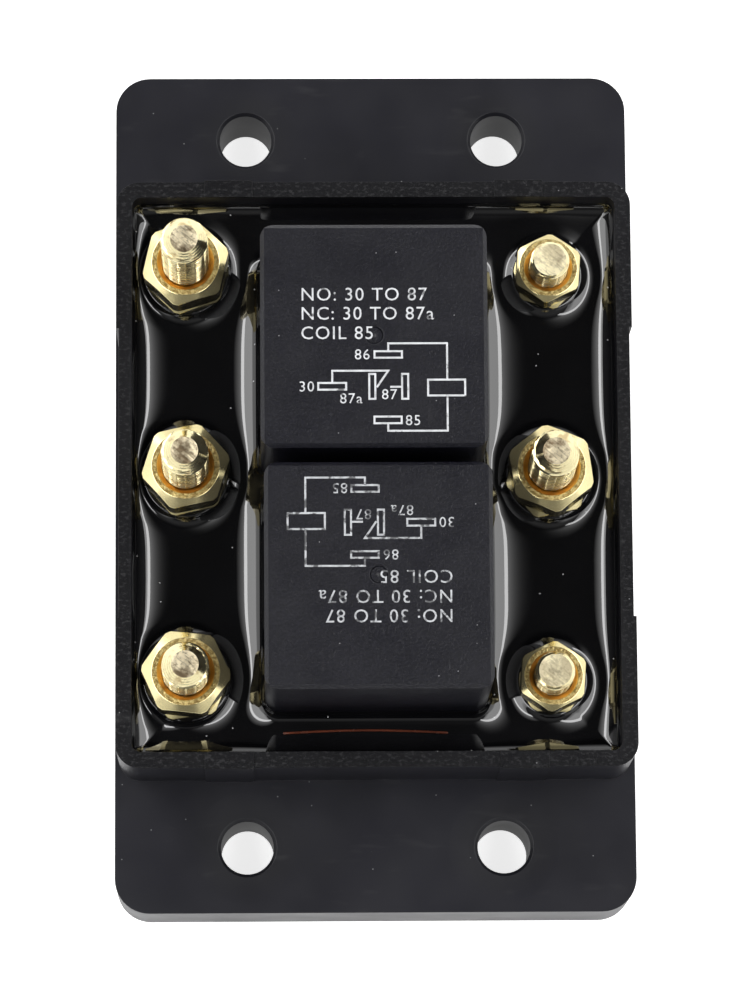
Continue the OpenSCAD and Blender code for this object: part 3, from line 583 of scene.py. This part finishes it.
def bevel(piece, width, segments=3, angle=30, except_near=None):
    """Rounds a piece's steep edges, but not a moulding mark's at a centre."""
    mesh = piece.data
    smooth(mesh, MARK_SMOOTH_ANGLE if except_near else angle)
    shape = bmesh.new()
    shape.from_mesh(mesh)
    weight = shape.edges.layers.float.new("bevel_weight_edge")
    for edge in shape.edges:
        steep = edge.calc_face_angle(0) > math.radians(angle)
        fine = except_near and near_axis(edge, except_near)
        edge[weight] = 1.0 if steep and not fine else 0.0
    shape.to_mesh(mesh)
    shape.free()
    made = piece.modifiers.new("bevel", "BEVEL")
    made.width = width * MM
    made.segments = segments
    made.limit_method = "WEIGHT"
    made.harden_normals = True
    bake_modifiers(piece)


def clean_copy(node_name, piece_name):
    """Copy of a node's mesh with its split points joined and flat faces whole."""
    mesh = NODES[node_name].data.copy()
    mesh.name = piece_name
    mesh.materials.clear()
    shape = bmesh.new()
    shape.from_mesh(mesh)
    bmesh.ops.remove_doubles(shape, verts=shape.verts, dist=JOIN_DISTANCE * MM)
    bmesh.ops.dissolve_limit(shape, angle_limit=math.radians(FLAT_ANGLE), verts=shape.verts,
                             edges=shape.edges)
    shape.to_mesh(mesh)
    shape.free()
    return mesh


def rounded_node(node_name, piece_name, material, width, except_near=None):
    """Stands for a node with the node's own shape, its edges rounded."""
    piece = new_piece(piece_name, clean_copy(node_name, piece_name), ROOT, (node_name,),
                      (material,))
    bevel(piece, width, except_near=except_near)


def round_point(centre, radius, angle, z):
    """Point at a radius and an angle round an upright axis."""
    return (centre[0] + radius * math.cos(angle), centre[1] + radius * math.sin(angle), z)


def ring_faces(rows, columns, closed_rows=False):
    """Quads between rings of points, each ring with the same number of points."""
    faces = []
    for row in range(rows if closed_rows else rows - 1):
        upper = (row + 1) % rows
        for column in range(columns):
            after = (column + 1) % columns
            faces.append((row * columns + column, row * columns + after,
                          upper * columns + after, upper * columns + column))
    return faces


def nut_profile(rim, span, size):
    """A nut's section from its mouth below round to its mouth above."""
    low, high = span
    bore = size["thread"] / 2 + BORE_GAP
    mouth = size["mouth"] - bore
    drop = max(rim - size["face"], 0) * CHAMFER_SLOPE
    return [(bore, low + mouth), (size["mouth"], low), (size["face"], low), (rim, low + drop),
            (rim, high - drop), (size["face"], high), (size["mouth"], high),
            (bore, high - mouth)]


def nut(name, centre, span, turn, size, replaced, body):
    """Hexagonal nut with chamfered corners, granular faces and a bevelled mouth."""
    apothem = size["flats"] / 2
    corner = apothem / math.cos(math.pi / 6) * NUT_CORNER_SHARE
    angles = [2 * math.pi * i / NUT_COLUMNS for i in range(NUT_COLUMNS)]
    profiles = [nut_profile(min(apothem / math.cos(angle % (math.pi / 3) - math.pi / 6), corner),
                            span, size) for angle in angles]
    points = [round_point(centre, radius, angle + math.radians(turn), z)
              for row in zip(*profiles) for angle, (radius, z) in zip(angles, row)]
    faces = ring_faces(len(profiles[0]), NUT_COLUMNS, closed_rows=True)
    side, face, mouth = range(3)
    bands = [mouth, face, side, side, side, face, mouth, mouth]
    mesh = mesh_from(name, points, faces, [bands[i // NUT_COLUMNS] for i in range(len(faces))])
    piece = new_piece(name, mesh, body, replaced,
                      (MATERIALS["nut_sides"], MATERIALS["nut_face"], MATERIALS["nut_mouth"]))
    bevel(piece, **NUT_BEVEL)


def thread_dip(turns):
    """Depth share of a thread at a number of turns along it: 0 crest, 1 root."""
    ramp = abs(turns % 1.0 * 2 - 1)
    return min(max((FLANK_START - ramp) / FLANK_LENGTH, 0.0), 1.0)


def thread_points(centre, low, top, size):
    """Rings of points up a thread, which narrows to the stud's chamfered end."""
    step = size["pitch"] / ROWS_PER_TURN
    heights = [low + i * step for i in range(int((top - low) / step))] + [top]
    points = []
    for z in heights:
        for i in range(STUD_COLUMNS):
            share = i / STUD_COLUMNS
            dip = size["depth"] * thread_dip((z - low) / size["pitch"] - share)
            radius = min(size["thread"] / 2 - dip, size["end"] / 2 + (top - z))
            points.append(round_point(centre, radius, 2 * math.pi * share, z))
    return points


def end_points(centre, top, size):
    """Rings of points on a stud's dished end, from its edge inward."""
    return [round_point(centre, size["end"] / 2 * share, 2 * math.pi * i / STUD_COLUMNS,
                        top - END_DISH * (1 - share ** 2))
            for share in END_RINGS for i in range(STUD_COLUMNS)]


def stud(name, centre, span, size, replaced):
    """Threaded stud with a chamfered end, and its bolt head below the thread."""
    head_low, top = span
    thread = thread_points(centre, BOARD_LEVEL, top, size)
    points = thread + end_points(centre, top, size)
    faces = ring_faces(len(points) // STUD_COLUMNS, STUD_COLUMNS)
    slots = [0 if i < len(thread) - STUD_COLUMNS else 1 for i in range(len(faces))]
    faces.append(tuple(range(len(points) - STUD_COLUMNS, len(points))))
    faces.append(tuple(range(STUD_COLUMNS))[::-1])
    slots += [1, 0]
    corner = size["flats"] / 2 / math.cos(math.pi / 6)
    first = len(points)
    points += [round_point(centre, corner, i * math.pi / 3, z)
               for z in (head_low, BOARD_LEVEL) for i in range(6)]
    head = ring_faces(2, 6) + [tuple(range(6))[::-1], tuple(range(6, 12))]
    faces += [tuple(first + i for i in face) for face in head]
    slots += [0] * len(head)
    mesh = mesh_from(name, points, faces, slots)
    new_piece(name, mesh, ROOT, replaced,
              (MATERIALS["stud_thread"], MATERIALS[size["end_finish"]]))
    smooth(mesh, 30)


def make_studs_and_nuts():
    for place_name, facts in STUDS.items():
        size = facts["size"]
        stud_node = f"stud_{place_name}"
        centre = middle(stud_node)
        stud(f"threaded_stud_{place_name}", centre, levels(stud_node), size, (stud_node,))
        seat, loose = f"seat_nut_{place_name}", f"terminal_nut_{place_name}"
        nut(f"hex_{seat}", centre, levels(seat), facts["seat_turn"], size, (seat,), ROOT)
        nut(f"hex_{loose}", centre, levels(loose), facts["nut_turn"], size, (loose,),
            f"nut_{place_name}")


def box_distance(x, y, centre, half_x, half_y, radius):
    """Distance outside a rectangle with round corners, negative inside it."""
    qx = np.abs(x - centre[0]) - (half_x - radius)
    qy = np.abs(y - centre[1]) - (half_y - radius)
    outside = np.hypot(np.maximum(qx, 0), np.maximum(qy, 0))
    return outside + np.minimum(np.maximum(qx, qy), 0) - radius


def cover_distance(x, y, name):
    """Distance outside a relay cover's sides, negative under the cover."""
    return box_distance(x, y, middle(f"{name}_cover"), COVER_HALF, COVER_HALF, COVER_CORNER)


def creep(distance, high, reach, foot, foot_reach):
    """Height that the potting creeps up at a distance from what it meets."""
    away = np.maximum(distance, 0)
    return high * np.exp(-away / reach) + foot * np.exp(-away / foot_reach)


def nut_mound(x, y, place_name, size):
    """Height of the round mound and of the potting's creep up a seat nut's sides."""
    centre = middle(f"seat_nut_{place_name}")
    radius = np.hypot(x - centre[0], y - centre[1])
    mound = MOUND_HEIGHT * np.maximum(1 - (radius / size["mound"]) ** 2, 0)
    return mound + creep(radius - size["flats"] * NUT_CREEP_START, foot=size["foot"], **NUT_CREEP)


def potting_height(x, y):
    """Height of the potting's surface over points of the tray."""
    low, high = TRAY_INNER
    half_x, half_y = (high[0] - low[0]) / 2, (high[1] - low[1]) / 2
    from_wall = -box_distance(x, y, (0, 0), half_x, half_y, TRAY_CORNER)
    z = POTTING_LEVEL + creep(from_wall, **WALL_CREEP)
    for name in RELAYS:
        z = z + creep(cover_distance(x, y, name), **WALL_CREEP)
    for place_name, facts in STUDS.items():
        z = z + nut_mound(x, y, place_name, facts["size"])
    return z


def hidden_under(x, y):
    """Where the potting's surface lies well inside a relay cover."""
    covered = np.zeros_like(x, dtype=bool)
    for name in RELAYS:
        covered |= cover_distance(x, y, name) < -HIDDEN_DEPTH
    return covered


def closed_body(x, y, z, keep, bottom):
    """Closed body between a grid of surface points and a level, where cells are kept."""
    shape = bmesh.new()
    rows, columns = x.shape
    made = {}

    def corner(row, column):
        if (row, column) not in made:
            px, py = x[row, column] * MM, y[row, column] * MM
            made[row, column] = (shape.verts.new((px, py, z[row, column] * MM)),
                                 shape.verts.new((px, py, bottom * MM)))
        return made[row, column]

    for row in range(rows - 1):
        for column in range(columns - 1):
            if not keep[row, column]:
                continue
            around = [corner(row, column), corner(row, column + 1),
                      corner(row + 1, column + 1), corner(row + 1, column)]
            shape.faces.new([pair[0] for pair in around])
            shape.faces.new([pair[1] for pair in around][::-1])
            beside = [(row - 1, column), (row, column + 1), (row + 1, column), (row, column - 1)]
            for side, (r, c) in enumerate(beside):
                inside = 0 <= r < rows - 1 and 0 <= c < columns - 1
                if not (inside and keep[r, c]):
                    a, b = around[side], around[(side + 1) % 4]
                    shape.faces.new([a[0], a[1], b[1], b[0]])
    return shape


def make_potting():
    """Potting as one closed body under a surface that creeps up all it meets."""
    low, high = TRAY_INNER
    xs, ys = [np.linspace(low[i], high[i], round((high[i] - low[i]) / POTTING_STEP) + 1)
              for i in range(2)]
    x, y = np.meshgrid(xs, ys)
    keep = ~hidden_under((x[:-1, :-1] + x[1:, 1:]) / 2, (y[:-1, :-1] + y[1:, 1:]) / 2)
    shape = closed_body(x, y, potting_height(x, y), keep, low[2])
    lowest = [vert for vert in shape.verts if vert.co.z < (low[2] + 1) * MM]
    bmesh.ops.dissolve_limit(shape, angle_limit=math.radians(0.01), verts=lowest, edges=[])
    mesh = mesh_of_shape("potting_resin", shape)
    mesh.validate()
    new_piece("potting_resin", mesh, ROOT, ("potting",),
              (MATERIALS["potting"],))
    smooth(mesh, 50)


def line_edges(path, closed=False):
    """Both edges of the ink line along a path, mitred at its corners."""
    count = len(path)
    pairs = []
    for i, (x, y) in enumerate(path):
        before = path[i - 1] if closed or i > 0 else None
        after = path[(i + 1) % count] if closed or i < count - 1 else None
        ways = [Vector((x - before[0], y - before[1])).normalized()] if before else []
        ways += [Vector((after[0] - x, after[1] - y)).normalized()] if after else []
        normals = [Vector((-way.y, way.x)) for way in ways]
        mitre = sum(normals, Vector((0, 0))).normalized()
        reach = INK_LINE / 2 / mitre.dot(normals[0])
        pairs.append([(x - mitre.x * reach, y - mitre.y * reach),
                      (x + mitre.x * reach, y + mitre.y * reach)])
    return pairs


def add_line(shape, path, turn, closed=False):
    """Adds an ink line along a path as one thin solid."""
    rows = []
    for right, left in line_edges(path, closed):
        section = ((right, INK_HEIGHT), (left, INK_HEIGHT), (left, -INK_HEIGHT / 2),
                   (right, -INK_HEIGHT / 2))
        rows.append([shape.verts.new(turn @ Vector((x * MM, y * MM, z * MM)))
                     for (x, y), z in section])
    count = len(rows)
    for i in range(count if closed else count - 1):
        here, there = rows[i], rows[(i + 1) % count]
        for j in range(4):
            k = (j + 1) % 4
            shape.faces.new([here[k], here[j], there[j], there[k]])
    if not closed:
        shape.faces.new(rows[0])
        shape.faces.new(rows[-1][::-1])


def box_path(low, high):
    """Middle of a rectangle's ink line, whose outer edges are low and high."""
    x0, y0 = [v + INK_LINE / 2 for v in low]
    x1, y1 = [v - INK_LINE / 2 for v in high]
    return [(x0, y0), (x1, y0), (x1, y1), (x0, y1)]


def add_word(shape, text, corner, cap_height, turn):
    """Adds a word's letters as thin solids, its lower left corner at a point."""
    curve = bpy.data.curves.new("word", "FONT")
    curve.body = text
    curve.size = cap_height / CAP_SHARE * MM
    curve.space_character = LETTER_SPACING
    curve.extrude = INK_HEIGHT / 2 * MM
    curve.resolution_u = 3
    mesh = mesh_of_curve(curve)
    where = Vector((*corner, INK_HEIGHT / 2)) * MM
    mesh.transform(turn @ Matrix.Translation(where))
    shape.from_mesh(mesh)
    bpy.data.meshes.remove(mesh)


def make_print(name, material):
    """White diagram and lines on one relay's top."""
    cover = f"{name}_cover"
    centre = middle(cover)
    top = Vector((centre[0], centre[1], levels(cover)[1])) * MM
    turn = Matrix.Translation(top) @ Matrix.Rotation(math.radians(RELAYS[name]), 4, "Z")
    shape = bmesh.new()
    for path in DIAGRAM_LINES:
        add_line(shape, path, turn)
    for low, high in DIAGRAM_BOXES:
        add_line(shape, box_path(low, high), turn, closed=True)
    for text, corner in DIAGRAM_WORDS:
        add_word(shape, text, corner, DIAGRAM_CAP_HEIGHT, turn)
    for text, base in PRINT_LINES:
        add_word(shape, text, (PRINT_LEFT, base), PRINT_CAP_HEIGHT, turn)
    new_piece(f"{name}_print", mesh_of_shape(f"{name}_print", shape), ROOT, (),
              (material,))


def make_link_wire():
    """Thin enamelled wire, bowed, half sunk in the potting."""
    low, high = [[v / MM for v in corner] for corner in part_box("link_wire")]
    radius = (high[1] - low[1]) / 2
    y = (low[1] + high[1]) / 2
    left, right = low[0] + radius, high[0] - radius
    run = high[0] - low[0] - 2 * radius
    path = [(left, y, low[2])]
    for i in range(WIRE_STEPS + 1):
        share = i / WIRE_STEPS
        x = left + run * share
        surface = float(potting_height(np.array(x), np.array(y)))
        path.append((x, y + WIRE_BOW * math.sin(math.pi * share), surface + radius * WIRE_RISE))
    path.append((right, y, low[2]))
    curve = bpy.data.curves.new("bowed_link_wire", "CURVE")
    curve.dimensions = "3D"
    curve.bevel_depth = radius * MM
    curve.bevel_resolution = 3
    curve.use_fill_caps = True
    spline = curve.splines.new("POLY")
    spline.points.add(len(path) - 1)
    for point, where in zip(spline.points, path):
        point.co = (*[v * MM for v in where], 1.0)
    mesh = mesh_of_curve(curve)
    mesh.materials.clear()
    new_piece("bowed_wire", mesh, ROOT, ("link_wire",), (MATERIALS["wire"],))
    smooth(mesh, 60)


def dress_nodes():
    """Gives every node of the frame the material of its slot."""
    for part in frame["record"]["subparts"]:
        mesh = NODES[part["node"]].data
        mesh.materials.clear()
        mesh.materials.append(MATERIALS[SLOT_FINISH[part["material_slot"]]])


def make_camera():
    data = bpy.data.cameras.new("camera")
    camera = add_object("camera", data)
    data.sensor_fit = "AUTO"
    data.sensor_width = SENSOR_WIDTH
    data.lens = FOCAL_PIXELS * SENSOR_WIDTH / LONG_SIDE_PIXELS
    data.clip_start = CLIP_NEAR
    data.clip_end = CLIP_FAR
    axis = Vector(CAMERA_TURN)
    camera.matrix_world = (Matrix.Translation(Vector(CAMERA_PLACE) * MM)
                           @ Matrix.Rotation(axis.length, 4, axis.normalized()))
    bpy.context.scene.camera = camera


def backdrop_paint():
    """White paint whose glow only the camera, mirrors and glass see."""
    made = Finish("white_floor", FLOOR_COLOUR, patch=400, contrast=0.02, roughness=(0.7, 0.8),
                  grain=5, bump=0.0)
    path = node(made.tree, "LightPath").outputs
    direct = product(made.tree, path["Is Camera Ray"], CAMERA_GLOW)
    bounced = math_node(made.tree, "MAXIMUM", path["Is Glossy Ray"], path["Is Transmission Ray"])
    glow = math_node(made.tree, "MAXIMUM", direct, product(made.tree, bounced, MIRROR_GLOW))
    made.shader.inputs["Emission Color"].default_value = (1, 1, 1, 1)
    made.tree.links.new(glow, made.shader.inputs["Emission Strength"])
    return made.done()


def make_stage():
    """White floor that turns up into a low round wall far away."""
    points = [round_point((0, 0), radius / MM, 2 * math.pi * i / FLOOR_COLUMNS, z / MM)
              for radius, z in FLOOR_PROFILE for i in range(FLOOR_COLUMNS)]
    faces = ring_faces(len(FLOOR_PROFILE), FLOOR_COLUMNS) + [tuple(range(FLOOR_COLUMNS))]
    mesh = mesh_from("floor", points, faces)
    smooth(mesh, 60)
    floor = add_object("floor", mesh)
    mesh.materials.append(backdrop_paint())


def lamp(name, side, near, far, radiance):
    """Long lamp at one side, seen from the module between two angles from the zenith."""
    data = bpy.data.lights.new(name, "AREA")
    data.shape = "RECTANGLE"
    data.size = 2 * LAMP_DISTANCE * math.tan(math.radians(far - near) / 2)
    data.size_y = LAMP_LENGTH
    data.energy = radiance * math.pi * data.size * data.size_y
    angle = math.radians((near + far) / 2) * side
    pivot = LAMP_PIVOT * LAMP_DISTANCE
    add_object(name, data).matrix_world = (
        Matrix.Rotation(angle, 4, "Y")
        @ Matrix.Translation((0, pivot, LAMP_DISTANCE))
        @ Matrix.Rotation(-side * math.radians(LAMP_TURN), 4, "Z")
        @ Matrix.Translation((0, LAMP_SHIFT - pivot, 0)))


def high_glow(tree, x, y, z):
    """Glow of the sky above, which grows toward the lamps, by the parts of a direction."""
    above = math_node(tree, "MAXIMUM", z, LEAST_HEIGHT)
    across = math_node(tree, "DIVIDE", x, above)
    beyond_pivot = math_node(tree, "SUBTRACT", math_node(tree, "DIVIDE", y, above), LAMP_PIVOT)
    aslant = product(tree, beyond_pivot, math.tan(math.radians(LAMP_TURN)))
    glow = ZENITH_GLOW
    for rise in SKY_RISES:
        toward = math_node(tree, "SUBTRACT", product(tree, across, rise["sign"]), aslant)
        share = math_node(tree, "POWER", spread(tree, toward, rise["start"], rise["end"]),
                          rise["power"])
        glow = math_node(tree, "ADD", glow, product(tree, share, SKY_GLOW))
    along = math_node(tree, "MAXIMUM", y, product(tree, y, -FRONT_SHORTENING))
    glow = product(tree, glow, spread(tree, along, *GLOW_ENDS, 1.0, GLOW_END_SHARE))
    return math_node(tree, "ADD", glow, spread(tree, y, *FRONT_GLOW_RANGE, FRONT_GLOW, 0.0))


def low_glow(tree, direction, z):
    """Glow of the surroundings near the horizon."""
    flat = node(tree, "VectorMath", [(0, direction), (1, (1, 1, 0))], operation="MULTIPLY")
    heading = node(tree, "VectorMath", [(0, flat.outputs[0])], operation="NORMALIZE")
    toward_back = node(tree, "SeparateXYZ", [(0, heading.outputs[0])]).outputs["Y"]
    beside_camera = spread(tree, toward_back, *CAMERA_SIDE_RANGE, CAMERA_SIDE_SHARE, 1.0)
    lower = spread(tree, z, *LOWEST_GLOW_RANGE, LOWEST_GLOW_SHARE, 1.0)
    return product(tree, lower, HORIZON_GLOW, beside_camera)


def make_sky(tree):
    """Strength of the world's light by direction: dark above, bright low down."""
    direction = node(tree, "TexCoord").outputs["Generated"]
    parts = node(tree, "SeparateXYZ", [(0, direction)]).outputs
    high_sky = spread(tree, parts["Z"], *HIGH_SKY)
    low_sky = math_node(tree, "SUBTRACT", 1.0, high_sky)
    high = product(tree, high_glow(tree, parts["X"], parts["Y"], parts["Z"]), high_sky)
    return math_node(tree, "ADD", high, product(tree, low_glow(tree, direction, parts["Z"]),
                                                low_sky))


def make_light():
    for name, facts in LAMPS.items():
        lamp(name, **facts)
    world = bpy.data.worlds.new("studio")
    bpy.context.scene.world = world
    world.use_nodes = True
    background = world.node_tree.nodes["Background"]
    background.inputs["Color"].default_value = (1, 1, 1, 1)
    world.node_tree.links.new(make_sky(world.node_tree), background.inputs["Strength"])


MATERIALS = {
    "housing": moulded_plastic(),
    "potting": potting_resin(),
    "cover": relay_plastic(),
    "ink": ink("print_white", (0.58, 0.59, 0.61), patch=0.9, contrast=0.16, gap_size=1.5,
               gap_range=(0.60, 0.66), gap_amount=0.8),
    "ink_worn": ink("print_worn", (0.44, 0.45, 0.47), patch=0.8, contrast=0.25, gap_size=1.1,
                    gap_range=(0.50, 0.58), gap_amount=0.85),
    "nut_sides": brass("brass_bright").done(),
    "nut_face": nut_face(),
    "nut_mouth": nut_mouth(),
    "stud_thread": stud_thread(),
    "stud_end_worn": stud_end("stud_end_worn", (0.86, 0.75, 0.52), (0.32, 0.5), 0.9),
    "stud_end_bright": stud_end("stud_end_bright", (0.95, 0.86, 0.58), (0.4, 0.6), 0.45),
    "board": board_laminate(),
    "copper": rolled_copper(),
    "inner_black": plain_plastic("inner_black", (0.018, 0.018, 0.019)),
    "bobbin": plain_plastic("bobbin_brown", (0.13, 0.07, 0.035)),
    "resistor": plain_plastic("resistor_blue", (0.06, 0.12, 0.2)),
    "steel": steel("soft_iron", (0.52, 0.52, 0.54)),
    "spring": steel("spring_wire", (0.42, 0.42, 0.44)),
    "coil": coil_winding(),
    "wire": enamel(),
}
SLOT_FINISH = {
    "board_laminate": "board", "copper": "copper", "relay_plastic": "inner_black",
    "relay_steel": "steel", "spring_steel": "spring", "bobbin_plastic": "bobbin",
    "coil_wire": "coil", "resistor_body": "resistor", "housing_plastic": "housing",
    "potting_resin": "potting", "cover_plastic": "cover", "stud_brass": "stud_thread",
    "nut_brass": "nut_sides", "enamelled_wire": "wire",
}

make_camera()
dress_nodes()
rounded_node("housing", "housing_shell", MATERIALS["housing"],
             HOUSING_ROUNDING)
make_potting()
for relay in RELAYS:
    rounded_node(f"{relay}_cover", f"{relay}_relay_cap", MATERIALS["cover"],
                 COVER_ROUNDING, middle(f"{relay}_cover"))
make_print("upper", MATERIALS["ink"])
make_print("lower", MATERIALS["ink_worn"])
make_studs_and_nuts()
make_link_wire()
make_stage()
make_light()
bpy.context.scene.view_settings.view_transform = "Standard"
